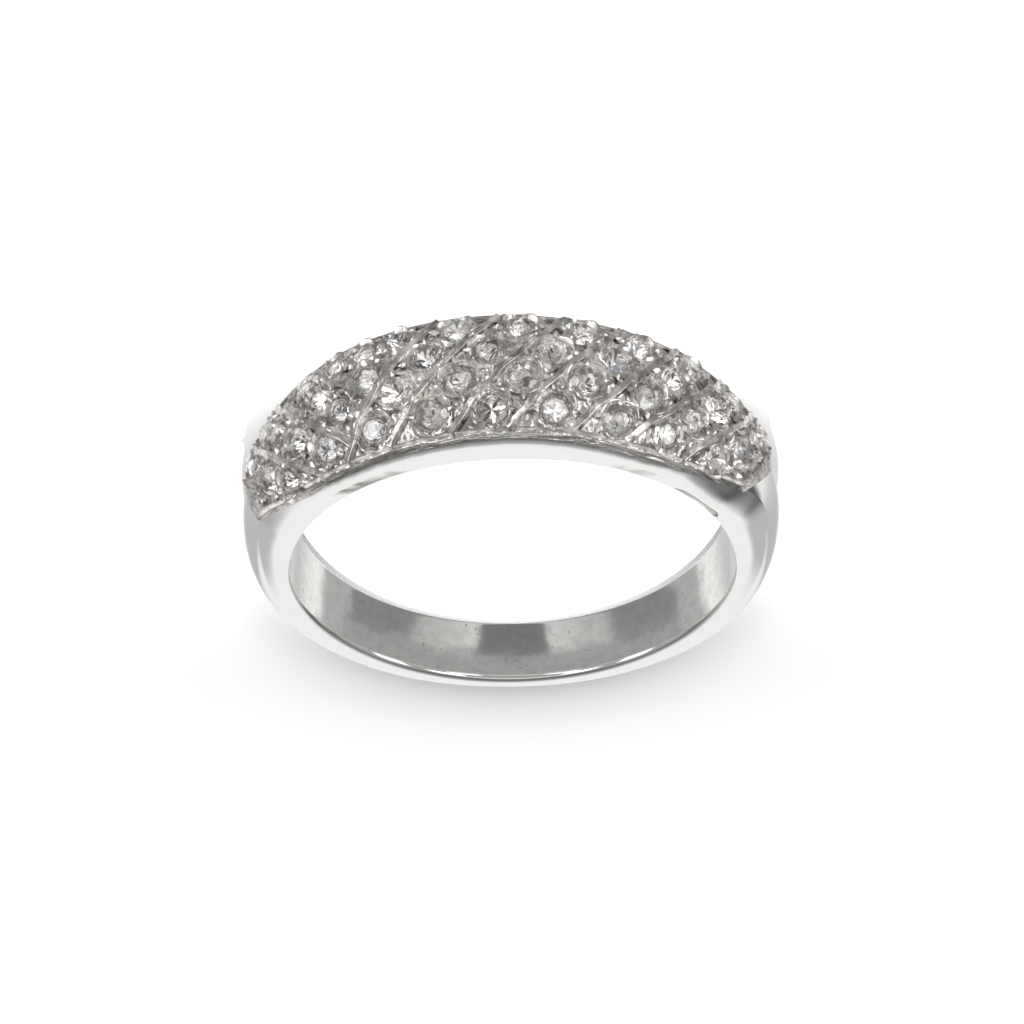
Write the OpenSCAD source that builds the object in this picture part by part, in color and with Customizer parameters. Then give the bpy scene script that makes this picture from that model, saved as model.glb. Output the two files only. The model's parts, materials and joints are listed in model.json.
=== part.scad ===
// Pave ring with a domed head, lying on its side as it rests by itself.
// The middle of the finger hole is the origin, the head points to -Y and the ring's front face is up.

/* [Finger hole] */
// Diameter of the finger hole
hole_d = 17; // [16.8:0.1:17.3]
// How far the soft inner edge reaches up each side face
soft_edge_h = 0.3; // [0.2:0.05:0.35]
// How far the soft inner edge reaches into the hole's length on each side
soft_edge_w = 0.2; // [0.1:0.05:0.25]

/* [Stones] */
// Height of a stone's crown as a share of its diameter
crown_share = 0.15; // [0.12:0.01:0.18]
// Depth of a stone's pavilion as a share of its diameter
pavilion_share = 0.42; // [0.38:0.01:0.45]
// Width of a stone's table as a share of its diameter
table_share = 0.56; // [0.5:0.01:0.62]
// Height of the girdle
girdle_h = 0.04; // [0.03:0.01:0.06]
// Gap between a stone and its seat
seat_gap = 0.04; // [0.03:0.01:0.05]

/* [Grains and ridges] */
// Radius of a grain of metal that holds a stone
grain_r = 0.17; // [0.15:0.01:0.18]
// Height of a grain's middle over the head's surface
grain_lift = 0.04; // [0:0.01:0.06]
// Distance from a stone's edge out to the middle of its grain
grain_out = 0.08; // [0.06:0.01:0.1]
// Width of a ridge at its foot
ridge_foot = 0.3; // [0.24:0.01:0.32]
// Width of a ridge at its top
ridge_top = 0.1; // [0.08:0.01:0.14]
// Height of the thin rim round the stone field
rim_h = 0.12; // [0.08:0.01:0.16]
// Width of the thin rim
rim_w = 0.14; // [0.1:0.01:0.18]
// Distance from the bevel in to the thin rim
rim_in = 0.04; // [0.03:0.01:0.06]

/* [Hidden] */

hole_r = hole_d / 2;
// How far foot points are sunk in the metal so that joined forms overlap
sink = 0.18;
// Depth of the body inside the hole's radius before the hole is cut
inner_stock = 0.5;
body_step = 4;
arc_points = 6;
round_fn = 96;

// Sections round the ring. The angle is 0 at the middle of the head, grows towards -X, and is 180
// at the bottom of the shank. Half-widths are along the finger hole, heights are over its wall.
// angle, side face half-width, crease half-width and height, border half-width and height, crown
// height, and how much the top is rounded, from 0 for a flat arc to 1 for a half-ellipse.
SECTIONS = [
    [-180, 1.36, 1.32, 0.52, 1.18, 0.86, 1.42, 0.80],
    [-150, 1.40, 1.38, 0.58, 1.24, 0.98, 1.50, 0.80],
    [-120, 1.56, 1.49, 0.74, 1.37, 1.12, 1.60, 0.75],
    [-100, 1.78, 1.59, 0.95, 1.49, 1.25, 1.72, 0.60],
    [ -88, 1.94, 1.64, 1.12, 1.56, 1.32, 1.82, 0.50],
    [ -78, 2.04, 1.74, 1.36, 1.66, 1.49, 1.96, 0.40],
    [ -69, 2.14, 1.89, 1.63, 1.81, 1.71, 2.10, 0.25],
    [ -58, 2.24, 2.44, 1.46, 2.32, 1.64, 2.28, 0.20],
    [ -48, 2.34, 2.70, 1.42, 2.54, 1.66, 2.42, 0.20],
    [ -38, 2.42, 2.84, 1.53, 2.66, 1.77, 2.52, 0.20],
    [ -18, 2.55, 2.87, 1.65, 2.70, 1.86, 2.64, 0.20],
    [   0, 2.60, 2.84, 1.70, 2.66, 1.90, 2.68, 0.20],
    [  30, 2.47, 2.82, 1.43, 2.60, 1.68, 2.50, 0.20],
    [  45, 2.34, 2.54, 1.47, 2.38, 1.63, 2.34, 0.20],
    [  58, 2.22, 2.01, 1.67, 1.94, 1.75, 2.20, 0.20],
    [  66, 2.14, 1.69, 1.74, 1.63, 1.79, 2.06, 0.25],
    [  78, 2.04, 1.62, 1.36, 1.55, 1.48, 1.90, 0.40],
    [  90, 1.92, 1.59, 1.10, 1.51, 1.29, 1.74, 0.50],
    [ 105, 1.72, 1.54, 0.88, 1.44, 1.20, 1.64, 0.65],
    [ 125, 1.52, 1.46, 0.72, 1.36, 1.10, 1.56, 0.75],
    [ 150, 1.40, 1.38, 0.58, 1.24, 0.98, 1.50, 0.80],
    [ 180, 1.36, 1.32, 0.52, 1.18, 0.86, 1.42, 0.80]
];
SIDE_W = 1;
CREASE_W = 2;
CREASE_H = 3;
BORDER_W = 4;
BORDER_H = 5;
CROWN_H = 6;
ROUND = 7;

// Rows of stones across the head: angle on the middle line, lean in degrees per mm across, first
// place across, step, number of stones, diameter.
ROWS = [
    [-65.7, -6.3, -1.92, 0.92, 4, 1.16],
    [-53.3, -7.0, -1.70, 0.95, 4, 1.30],
    [-39.1, -5.2, -0.52, 0.98, 3, 1.22],
    [-29.4, -0.8,  0.45, 1.40, 2, 1.32],
    [-38.5,  0.0,  1.80, 1.00, 1, 1.20],
    [-23.3,  0.0,  1.95, 1.00, 1, 1.20],
    [-20.0,  4.9, -1.83, 1.22, 4, 1.40],
    [ -7.3,  4.9, -1.83, 1.22, 4, 1.40],
    [  5.1,  5.1, -1.83, 1.22, 4, 1.40],
    [ 17.7,  5.0, -1.83, 1.22, 4, 1.40],
    [ 31.0,  4.9, -1.83, 1.22, 4, 1.38],
    [ 44.6,  6.3, -1.85, 0.97, 4, 1.30],
    [ 58.2,  6.4, -1.72, 0.92, 4, 1.16]
];

// Ridges between the rows: angle on the middle line, lean in degrees per mm across, first place
// across, and height.
RIDGES = [
    [-60.6, -6.70, -3.0, 0.20],
    [-46.8, -6.05, -3.0, 0.20],
    [-31.5, -7.20, -0.5, 0.17],
    [-25.8,  4.20, -3.0, 0.20],
    [-14.1,  4.65, -3.0, 0.20],
    [ -0.5,  4.75, -3.0, 0.20],
    [ 11.4,  4.90, -3.0, 0.20],
    [ 24.9,  5.15, -3.0, 0.20],
    [ 38.4,  5.85, -3.0, 0.20],
    [ 51.7,  5.70, -3.0, 0.20]
];

// Ends of the stone field: angle on the middle line, lean in degrees per mm across
FIELD_START = [-74.0, -2.5];
FIELD_END = [68.3, 5.3];

// A smooth curve through one column of the sections, with no overshoot between rows
function secant(i, k) =
    (SECTIONS[i + 1][k] - SECTIONS[i][k]) / (SECTIONS[i + 1][0] - SECTIONS[i][0]);
function slope(i, k) =
    i == 0 || i == len(SECTIONS) - 1 ? 0 :
    let (before = secant(i - 1, k), after = secant(i, k))
    before * after <= 0 ? 0 : 2 * before * after / (before + after);
SLOPES = [for (i = [0:len(SECTIONS) - 1]) [for (k = [0:ROUND]) k == 0 ? 1 : slope(i, k)]];
function row_before(a) =
    max([for (i = [0:len(SECTIONS) - 2]) if (i == 0 || SECTIONS[i][0] <= a) i]);
function size_at(a, k) =
    let (i = row_before(a), h = SECTIONS[i + 1][0] - SECTIONS[i][0], t = (a - SECTIONS[i][0]) / h)
    (2 * t * t * t - 3 * t * t + 1) * SECTIONS[i][k]
    + (t * t * t - 2 * t * t + t) * h * SLOPES[i][k]
    + (3 * t * t - 2 * t * t * t) * SECTIONS[i + 1][k]
    + (t * t * t - t * t) * h * SLOPES[i + 1][k];

// Height of the head's surface over the hole's wall at an angle and a place across
function top_h(a, y) =
    let (q = min(abs(y) / size_at(a, BORDER_W), 1), k = size_at(a, ROUND), crown = size_at(a, CROWN_H))
    crown - (crown - size_at(a, BORDER_H)) * (1 - sqrt(1 - k * q * q)) / (1 - sqrt(1 - k));
function at(a, y, h) = [-(hole_r + h) * sin(a), -(hole_r + h) * cos(a), -y];
function on_top(a, y, h) = at(a, y, top_h(a, y) + h);

// The surface's fall across the head and along it, in degrees
slope_step = 0.05;
function mm_per_degree(a, y) = (hole_r + top_h(a, y)) * PI / 180;
function fall_across(a, y) =
    atan((top_h(a, y - slope_step) - top_h(a, y + slope_step)) / (2 * slope_step));
function rise_along(a, y) = atan((top_h(a + 1, y) - top_h(a - 1, y)) / (2 * mm_per_degree(a, y)));

// Half of a section's outline, from inside the hole to the border, then over the crown
function half_section(a) =
    let (w = size_at(a, SIDE_W), border = size_at(a, BORDER_W))
    concat(
        [
            [w - soft_edge_w * (soft_edge_h + inner_stock) / soft_edge_h, -inner_stock],
            [w, soft_edge_h],
            [size_at(a, CREASE_W), size_at(a, CREASE_H)]
        ],
        [for (i = [0:arc_points - 1]) let (y = border * cos(90 * i / arc_points)) [y, top_h(a, y)]]
    );
function section(a) =
    let (half = half_section(a), n = len(half))
    concat(
        [for (p = half) at(a, p[0], p[1])],
        [on_top(a, 0, 0)],
        [for (i = [n - 1:-1:0]) at(a, -half[i][0], half[i][1])]
    );

// The ring rests on the crease of its head and on the bottom of its shank, so it leans
shank_w = size_at(180, CREASE_W);
shank_r = hole_r + size_at(180, CREASE_H);
function lean_on(s) =
    atan((s[CREASE_W] - shank_w) / (shank_r + (hole_r + s[CREASE_H]) * cos(s[0])));
rest_tilt = max([for (s = SECTIONS) if (abs(s[0]) < 90) lean_on(s)]);

function row_angle(row, y) = row[0] + row[1] * y;
function row_places(row) = [for (i = [0:row[4] - 1]) row[2] + row[3] * i];

// Distance across from the middle line to the middle of the thin rim
function rim_mid(a) = size_at(a, BORDER_W) - rim_in - rim_w / 2;

// Where a slanting line meets the rim, on the side that sign names
function to_rim(line, sign, y = 1.5, n = 8) =
    n == 0 ? sign * y : to_rim(line, sign, rim_mid(row_angle(line, sign * y)), n - 1);

// A raised strip of metal along a line of [angle, place across] points on the head
function strip_side(path, i, half) =
    let (
        before = path[max(i - 1, 0)],
        after = path[min(i + 1, len(path) - 1)],
        scale_a = mm_per_degree(path[i][0], path[i][1]),
        along = [(after[0] - before[0]) * scale_a, after[1] - before[1]],
        length = norm(along)
    )
    [-along[1] / length * half / scale_a, along[0] / length * half];
module strip(path, foot, top, height) {
    n = len(path);
    points = [
        for (i = [0:n - 1])
            let (
                a = path[i][0],
                y = path[i][1],
                f = strip_side(path, i, foot / 2),
                t = strip_side(path, i, top / 2),
                h = top_h(a, y)
            )
            each [
                at(a - f[0], y - f[1], h - sink),
                at(a - t[0], y - t[1], h + height),
                at(a + t[0], y + t[1], h + height),
                at(a + f[0], y + f[1], h - sink)
            ]
    ];
    faces = concat(
        [[3, 2, 1, 0]],
        [for (i = [0:n - 2], j = [0:3])
            [4 * i + j, 4 * i + (j + 1) % 4, 4 * (i + 1) + (j + 1) % 4, 4 * (i + 1) + j]],
        [[4 * n - 4, 4 * n - 3, 4 * n - 2, 4 * n - 1]]
    );
    polyhedron(points, faces, convexity = 6);
}

module body() {
    angles = [for (a = [-180:body_step:180 - body_step]) a];
    rings = [for (a = angles) section(a)];
    m = len(rings[0]);
    n = len(angles);
    faces = [
        for (i = [0:n - 1], j = [0:m - 1])
            let (k = (i + 1) % n, l = (j + 1) % m)
            [i * m + j, k * m + j, k * m + l, i * m + l]
    ];
    polyhedron([for (ring = rings) each ring], faces, convexity = 8);
}

module ridges() {
    for (line = RIDGES) {
        low = max(to_rim(line, -1), line[2]);
        high = to_rim(line, 1);
        steps = 8;
        path = [for (i = [0:steps]) let (y = low + (high - low) * i / steps) [row_angle(line, y), y]];
        strip(path, ridge_foot, ridge_top, line[3]);
    }
}

module rim() {
    for (side = [-1, 1]) {
        first = row_angle(FIELD_START, to_rim(FIELD_START, side));
        last = row_angle(FIELD_END, to_rim(FIELD_END, side));
        steps = 32;
        edge = [
            for (i = [0:steps])
                let (a = first + (last - first) * i / steps)
                [a, side * rim_mid(a)]
        ];
        strip(edge, rim_w, rim_w, rim_h);
    }
    for (line = [FIELD_START, FIELD_END]) {
        low = to_rim(line, -1);
        high = to_rim(line, 1);
        steps = 8;
        path = [for (i = [0:steps]) let (y = low + (high - low) * i / steps) [row_angle(line, y), y]];
        strip(path, rim_w, rim_w, rim_h - 0.02);
    }
}

// Puts a child with its own +Z out of the head's surface at a place of the field
module on_head(a, y) {
    rotate([0, 0, -a])
        translate([0, -hole_r - top_h(a, y), -y])
            rotate([0, 0, rise_along(a, y)])
                rotate([90 + fall_across(a, y), 0, 0])
                    children();
}

module each_stone() {
    for (row = ROWS, y = row_places(row)) {
        on_head(row_angle(row, y), y) {
            $stone_d = row[5];
            $turn = atan2(1, row[1] * mm_per_degree(row[0], 0));
            children();
        }
    }
}

module grains() {
    each_stone()
        for (quarter = [0:3])
            rotate([0, 0, $turn + 45 + 90 * quarter])
                translate([$stone_d / 2 + grain_out, 0, grain_lift])
                    sphere(r = grain_r, $fn = 24);
}

// The room that a stone takes, with its gap, open upwards over the table
module seat() {
    r = $stone_d / 2 + seat_gap;
    table_r = $stone_d * table_share / 2 + seat_gap;
    depth = $stone_d * pavilion_share + 2 * seat_gap;
    crown = $stone_d * crown_share + girdle_h / 2 + seat_gap;
    rotate_extrude($fn = round_fn)
        polygon([
            [0, -depth],
            [r, -girdle_h / 2 - seat_gap],
            [r, girdle_h / 2],
            [table_r, crown],
            [table_r, crown + 0.4],
            [0, crown + 0.4]
        ]);
}

// A cut stone: a table with eight sides, a crown of 24 facets, a thin girdle and a pavilion of 16
module stone() {
    r = $stone_d / 2;
    table_r = r * table_share;
    half = girdle_h / 2;
    crown = half + $stone_d * crown_share;
    culet = -half - $stone_d * pavilion_share;
    points = concat(
        [for (i = [0:7]) [table_r * cos(45 * i), table_r * sin(45 * i), crown]],
        [for (i = [0:15]) [r * cos(22.5 * i), r * sin(22.5 * i), half]],
        [for (i = [0:15]) [r * cos(22.5 * i), r * sin(22.5 * i), -half]],
        [[0, 0, culet]]
    );
    faces = concat(
        [[7, 6, 5, 4, 3, 2, 1, 0]],
        [for (i = [0:7]) let (j = (i + 1) % 8) [i, j, 9 + 2 * i]],
        [for (i = [0:7]) [i, 9 + 2 * i, 8 + 2 * i]],
        [for (i = [0:7]) let (j = (i + 1) % 8) [j, 8 + 2 * j, 9 + 2 * i]],
        [for (i = [0:15]) let (j = (i + 1) % 16) [8 + i, 8 + j, 24 + j, 24 + i]],
        [for (i = [0:15]) let (j = (i + 1) % 16) [24 + i, 24 + j, 40]]
    );
    polyhedron(points, faces);
}

// Turns the ring from its own axis to the way it lies
module lying() {
    rotate([-rest_tilt, 0, 0])
        children();
}

module ring_band() {
    color("gainsboro")
        lying()
            difference() {
                union() {
                    body();
                    ridges();
                    rim();
                    grains();
                }
                cylinder(r = hole_r, h = 10, center = true, $fn = round_fn);
                each_stone() seat();
            }
}

module pave_stones() {
    color("aliceblue")
        lying()
            each_stone() stone();
}

ring_band();
pave_stones();
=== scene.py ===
"""A domed pave ring: its cast metal and its cut stones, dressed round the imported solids."""

import json
import logging
import math
import random
from dataclasses import dataclass, field
from enum import Enum, IntEnum
from typing import Callable, Iterable, Sequence

import bmesh
import bpy
from mathutils import Matrix, Vector

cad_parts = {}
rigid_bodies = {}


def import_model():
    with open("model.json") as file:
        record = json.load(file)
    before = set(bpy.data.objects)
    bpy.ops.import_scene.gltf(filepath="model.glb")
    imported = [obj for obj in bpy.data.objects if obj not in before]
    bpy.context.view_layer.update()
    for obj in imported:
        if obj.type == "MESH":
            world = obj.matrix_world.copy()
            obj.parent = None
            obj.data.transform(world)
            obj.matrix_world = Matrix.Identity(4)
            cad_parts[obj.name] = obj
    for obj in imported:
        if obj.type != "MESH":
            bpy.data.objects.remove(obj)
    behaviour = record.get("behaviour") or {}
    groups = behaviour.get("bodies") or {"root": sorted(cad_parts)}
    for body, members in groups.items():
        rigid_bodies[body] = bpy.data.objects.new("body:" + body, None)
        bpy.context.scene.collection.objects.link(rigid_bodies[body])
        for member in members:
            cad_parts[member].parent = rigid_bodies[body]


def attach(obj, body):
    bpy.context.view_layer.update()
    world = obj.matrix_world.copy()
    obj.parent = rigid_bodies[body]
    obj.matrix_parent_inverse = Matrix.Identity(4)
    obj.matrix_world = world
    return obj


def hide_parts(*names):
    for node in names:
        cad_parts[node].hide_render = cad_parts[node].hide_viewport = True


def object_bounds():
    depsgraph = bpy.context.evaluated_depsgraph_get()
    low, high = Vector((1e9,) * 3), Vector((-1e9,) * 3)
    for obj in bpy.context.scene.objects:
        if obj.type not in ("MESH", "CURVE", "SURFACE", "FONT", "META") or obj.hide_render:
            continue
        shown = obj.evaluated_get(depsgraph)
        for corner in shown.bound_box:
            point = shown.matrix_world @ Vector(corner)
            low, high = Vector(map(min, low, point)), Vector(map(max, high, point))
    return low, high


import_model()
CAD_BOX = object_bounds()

LOG = logging.getLogger("pave_ring")
MM = 0.001
BODY = "root"

Place = tuple[float, float]
Colour = tuple[float, float, float]


class Slot(Enum):
    """The record's material slots."""

    METAL = "white_gold"
    STONE = "clear_stone"


class Zone(IntEnum):
    """The metal's finishes, in the order of its material slots."""

    POLISHED = 0
    HEWN = 1
    BEVEL = 2
    WALL = 3
    CUT = 4
    ENGRAVED = 5


# --------------------------------------------------------------------- the bench


class Bench:
    """Modelling moves that every piece uses, made with Blender's own operators."""

    @staticmethod
    def clear() -> None:
        """Leaves nothing selected."""
        bpy.ops.object.select_all(action="DESELECT")

    @staticmethod
    def take(*pieces: bpy.types.Object) -> None:
        """Selects these pieces alone and makes the first one active.

        Args:
            pieces: the objects to work on.
        """
        Bench.clear()
        for piece in pieces:
            piece.select_set(True)
        bpy.context.view_layer.objects.active = pieces[0]

    @staticmethod
    def start(add: Callable[..., set[str]], **sizes: object) -> bpy.types.Object:
        """Adds a primitive with nothing else selected, with its place in its mesh.

        Args:
            add: the operator that adds it.
            sizes: its sizes and its place.

        Returns:
            The new object.
        """
        Bench.clear()
        add(**sizes)
        bpy.ops.object.transform_apply(location=True)
        return bpy.context.active_object

    @staticmethod
    def pick(piece: bpy.types.Object, kind: str, rule: Callable[[object], bool]) -> None:
        """Selects those edges or faces of the piece in edit mode that a rule accepts.

        Args:
            piece: the object.
            kind: EDGE or FACE.
            rule: tells whether an edge or face is selected.
        """
        bpy.ops.mesh.select_mode(type=kind)
        bpy.ops.mesh.select_all(action="DESELECT")
        mesh = bmesh.from_edit_mesh(piece.data)
        for part in mesh.edges if kind == "EDGE" else mesh.faces:
            part.select = rule(part)
        bmesh.update_edit_mesh(piece.data)

    @staticmethod
    def reshape(piece: bpy.types.Object, move: Callable[[Vector], Vector]) -> None:
        """Moves every point of a piece to where a rule puts it.

        Args:
            piece: the mesh object.
            move: gives a point's new place from its old one.
        """
        for point in piece.data.vertices:
            point.co = move(point.co)
        piece.data.update()

    @staticmethod
    def copy_at(piece: bpy.types.Object, place: Matrix) -> bpy.types.Object:
        """Copies a piece with a mesh of its own.

        Args:
            piece: the object to copy.
            place: where the copy's points go.

        Returns:
            The copy, at the origin and unturned.
        """
        twin = piece.copy()
        twin.data = piece.data.copy()
        bpy.context.scene.collection.objects.link(twin)
        twin.data.transform(place)
        return twin

    @staticmethod
    def join(pieces: Sequence[bpy.types.Object], name: str) -> bpy.types.Object:
        """Joins pieces into one object.

        Args:
            pieces: the objects, of which the first keeps its slots.
            name: the joined object's name.

        Returns:
            The joined object.
        """
        Bench.take(*pieces)
        bpy.ops.object.join()
        joined = bpy.context.view_layer.objects.active
        joined.name = joined.data.name = name
        return joined

    @staticmethod
    def modify(piece: bpy.types.Object, kind: str, **settings: object) -> None:
        """Adds a modifier with its settings and applies it.

        Args:
            piece: the object.
            kind: the modifier's type.
            settings: its values.
        """
        Bench.take(piece)
        modifier = piece.modifiers.new(kind.lower(), kind)
        for key, value in settings.items():
            setattr(modifier, key, value)
        bpy.ops.object.modifier_apply(modifier=modifier.name)

    @staticmethod
    def set_down(piece: bpy.types.Object, lean: float) -> None:
        """Turns a piece made in millimetres on the ring's own axis to how the ring lies, in metres.

        Args:
            piece: the finished piece.
            lean: the angle that the ring's axis leans by, in degrees.
        """
        Bench.take(piece)
        piece.rotation_euler = (-math.radians(lean), 0.0, 0.0)
        piece.scale = (MM, MM, MM)
        bpy.ops.object.transform_apply(location=True, rotation=True, scale=True)


def smooth_step(low: float, high: float, value: float) -> float:
    """Rises softly from 0 at low to 1 at high.

    Args:
        low: where the rise starts.
        high: where it ends.
        value: where it is read.

    Returns:
        The share from 0 to 1.
    """
    t = min(max((value - low) / (high - low), 0.0), 1.0)
    return t * t * (3.0 - 2.0 * t)


def smooth_ramp(value: float, low: float, high: float) -> float:
    """Rises from 0 at low to 1 at high, slowly at first, as a curve that bends away."""
    return (max(value - low, 0.0) / (high - low)) ** 2


def between(p: Place, q: Place, share: float) -> Place:
    """Gives the point a share of the way from one point to another."""
    return tuple(a + (b - a) * share for a, b in zip(p, q))


def hermite(
    a: float | Vector, leave: float | Vector, b: float | Vector, arrive: float | Vector, t: float
) -> float | Vector:
    """Follows a smooth curve between two values or points, with set slopes at its ends.

    Args:
        a: where it starts.
        leave: its slope there.
        b: where it ends.
        arrive: its slope there.
        t: the share of the curve.

    Returns:
        The value or point there.
    """
    return (
        a * (2 * t**3 - 3 * t**2 + 1)
        + leave * (t**3 - 2 * t**2 + t)
        + b * (3 * t**2 - 2 * t**3)
        + arrive * (t**3 - t**2)
    )


# --------------------------------------------------------------------- the ring's form


@dataclass(frozen=True)
class Section:
    """One section of the band, in millimetres. Heights are over the finger hole's wall."""

    angle: float
    side_w: float
    crease_w: float
    crease_h: float
    border_w: float
    border_h: float
    crown_h: float
    roundness: float


@dataclass(frozen=True)
class HeadLine:
    """A slanting line over the head: its angle at the middle and its lean in degrees per mm."""

    angle: float
    lean: float

    def at(self, y: float) -> float:
        """Gives the line's angle at a place across."""
        return self.angle + self.lean * y


@dataclass(frozen=True)
class Ridge(HeadLine):
    """A raised ridge between two rows of stones."""

    start: float
    height: float


@dataclass(frozen=True)
class StoneRow(HeadLine):
    """A row of stones across the head."""

    first: float
    step: float
    count: int
    diameter: float


@dataclass(frozen=True)
class BandForm:
    """The band's form as a rule: its sections, and any point on or over its surface."""

    hole_r: float = 8.5
    soft_edge_h: float = 0.3
    soft_edge_w: float = 0.2
    sections: tuple[Section, ...] = (
        Section(-180, 1.36, 1.32, 0.52, 1.18, 0.86, 1.42, 0.80),
        Section(-150, 1.40, 1.38, 0.58, 1.24, 0.98, 1.50, 0.80),
        Section(-120, 1.56, 1.49, 0.74, 1.37, 1.12, 1.60, 0.75),
        Section(-100, 1.78, 1.59, 0.95, 1.49, 1.25, 1.72, 0.60),
        Section(-88, 1.94, 1.64, 1.12, 1.56, 1.32, 1.82, 0.50),
        Section(-78, 2.04, 1.74, 1.36, 1.66, 1.49, 1.96, 0.40),
        Section(-69, 2.14, 1.89, 1.63, 1.81, 1.71, 2.10, 0.25),
        Section(-58, 2.24, 2.44, 1.46, 2.32, 1.64, 2.28, 0.20),
        Section(-48, 2.34, 2.70, 1.42, 2.54, 1.66, 2.42, 0.20),
        Section(-38, 2.42, 2.84, 1.53, 2.66, 1.77, 2.52, 0.20),
        Section(-18, 2.55, 2.87, 1.65, 2.70, 1.86, 2.64, 0.20),
        Section(0, 2.60, 2.84, 1.70, 2.66, 1.90, 2.68, 0.20),
        Section(30, 2.47, 2.82, 1.43, 2.60, 1.68, 2.50, 0.20),
        Section(45, 2.34, 2.54, 1.47, 2.38, 1.63, 2.34, 0.20),
        Section(58, 2.22, 2.01, 1.67, 1.94, 1.75, 2.20, 0.20),
        Section(66, 2.14, 1.69, 1.74, 1.63, 1.79, 2.06, 0.25),
        Section(78, 2.04, 1.62, 1.36, 1.55, 1.48, 1.90, 0.40),
        Section(90, 1.92, 1.59, 1.10, 1.51, 1.29, 1.74, 0.50),
        Section(105, 1.72, 1.54, 0.88, 1.44, 1.20, 1.64, 0.65),
        Section(125, 1.52, 1.46, 0.72, 1.36, 1.10, 1.56, 0.75),
        Section(150, 1.40, 1.38, 0.58, 1.24, 0.98, 1.50, 0.80),
        Section(180, 1.36, 1.32, 0.52, 1.18, 0.86, 1.42, 0.80),
    )

    def _slope(self, i: int, key: str) -> float:
        """Gives the curve's slope at a section, with no overshoot.

        Args:
            i: the section's number.
            key: the size's name.

        Returns:
            The slope per degree.
        """
        if i in (0, len(self.sections) - 1):
            return 0.0
        a, b, c = self.sections[i - 1 : i + 2]
        before = (getattr(b, key) - getattr(a, key)) / (b.angle - a.angle)
        after = (getattr(c, key) - getattr(b, key)) / (c.angle - b.angle)
        return 0.0 if before * after <= 0 else 2 * before * after / (before + after)

    def size(self, angle: float, key: str) -> float:
        """Reads one size of the section at an angle.

        Args:
            angle: degrees from the head's middle.
            key: the size's name.

        Returns:
            The size in millimetres.
        """
        last = len(self.sections) - 2
        i = max(k for k in range(last + 1) if k == 0 or self.sections[k].angle <= angle)
        a, b = self.sections[i], self.sections[i + 1]
        run = b.angle - a.angle
        leave, arrive = (self._slope(k, key) * run for k in (i, i + 1))
        return hermite(getattr(a, key), leave, getattr(b, key), arrive, (angle - a.angle) / run)

    def section(self, angle: float) -> Section:
        """Gives the whole section at an angle."""
        keys = [k for k in Section.__dataclass_fields__ if k != "angle"]
        return Section(angle, *(self.size(angle, k) for k in keys))

    def top_h(self, angle: float, y: float, section: Section | None = None) -> float:
        """Gives the crown's height over the hole's wall.

        Args:
            angle: degrees from the head's middle.
            y: the place across.
            section: the section there, where it is already known.

        Returns:
            The height in millimetres.
        """
        s = section or self.section(angle)
        q = min(abs(y) / s.border_w, 1.0)
        fall = (1 - math.sqrt(1 - s.roundness * q * q)) / (1 - math.sqrt(1 - s.roundness))
        return s.crown_h - (s.crown_h - s.border_h) * fall

    def point(self, angle: float, y: float, h: float) -> Vector:
        """Gives the point at an angle and a place across, at a height over the hole's wall.

        Args:
            angle: degrees from the head's middle.
            y: the place across.
            h: the height.

        Returns:
            The point, in millimetres on the ring's own axes.
        """
        a = math.radians(angle)
        r = self.hole_r + h
        return Vector((-r * math.sin(a), -r * math.cos(a), -y))

    def mm_per_degree(self, angle: float, y: float) -> float:
        """Gives the length of a degree on the crown."""
        return math.radians(self.hole_r + self.top_h(angle, y))

    def seat_frame(self, angle: float, y: float) -> Matrix:
        """Gives a frame that stands on the crown, with its Z out of the surface.

        Args:
            angle: degrees from the head's middle.
            y: the place across.

        Returns:
            The frame's matrix.
        """
        step = 0.05
        fall = math.atan((self.top_h(angle, y - step) - self.top_h(angle, y + step)) / (2 * step))
        per_degree = self.mm_per_degree(angle, y)
        rise = math.atan((self.top_h(angle + 1, y) - self.top_h(angle - 1, y)) / (2 * per_degree))
        return (
            Matrix.Rotation(-math.radians(angle), 4, "Z")
            @ Matrix.Translation((0.0, -self.hole_r - self.top_h(angle, y), -y))
            @ Matrix.Rotation(rise, 4, "Z")
            @ Matrix.Rotation(math.pi / 2 + fall, 4, "X")
        )

    def rest_lean(self) -> float:
        """Finds how far the ring leans when it rests on its head's crease and its shank.

        Returns:
            The angle in degrees.
        """
        foot = self.section(180)
        shank_r = self.hole_r + foot.crease_h
        return max(
            math.degrees(
                math.atan(
                    (s.crease_w - foot.crease_w)
                    / (shank_r + (self.hole_r + s.crease_h) * math.cos(math.radians(s.angle)))
                )
            )
            for s in self.sections
            if abs(s.angle) < 90
        )


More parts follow.
